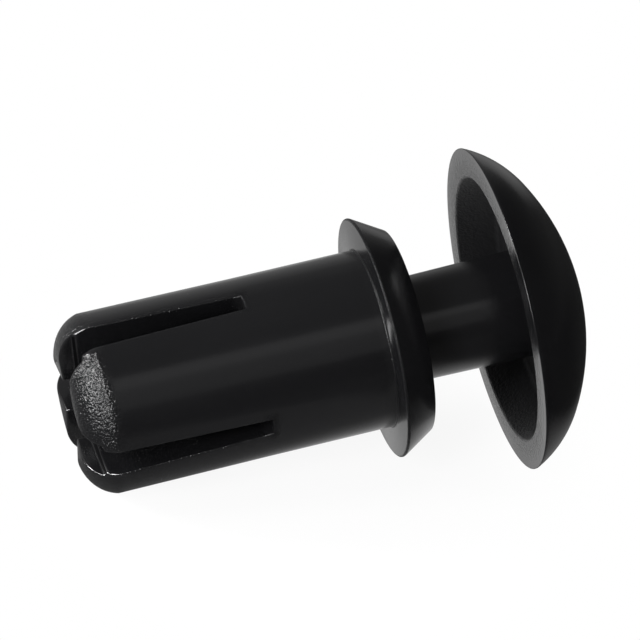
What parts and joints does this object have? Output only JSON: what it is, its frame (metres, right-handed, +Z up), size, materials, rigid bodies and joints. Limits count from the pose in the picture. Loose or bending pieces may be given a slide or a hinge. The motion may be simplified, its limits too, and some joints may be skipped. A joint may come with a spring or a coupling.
{
  "type": "plastic push rivet",
  "caption": "Push-in rivet of nylon: split hollow shank with a conical collar, and a domed pin that is pressed in to spread the legs.",
  "frame": {"origin": "on the floor, under the middle of the rivet as it lies", "axes": "+Z up; +X along the lying rivet towards the pin's head; the rivet's own axis rises 10.3 degrees from +X towards +Z, because it rests on the head's rim and on the edges of two leg ends, astride a slot"},
  "size_m": [0.0146, 0.0092, 0.009],
  "materials": {
    "black_nylon": "black nylon as moulded, satin"
  },
  "bodies": {
    "rivet_body": {"rivet_body": "black_nylon"},
    "push_pin": {"push_pin": "black_nylon"}
  },
  "joints": [
    {"name": "pin_press", "type": "slide", "parent": "rivet_body", "child": "push_pin", "axis": [-0.9838, 0, -0.1793], "range_m": [0, 0.00357], "deforming": ["rivet_body"]}
  ]
}
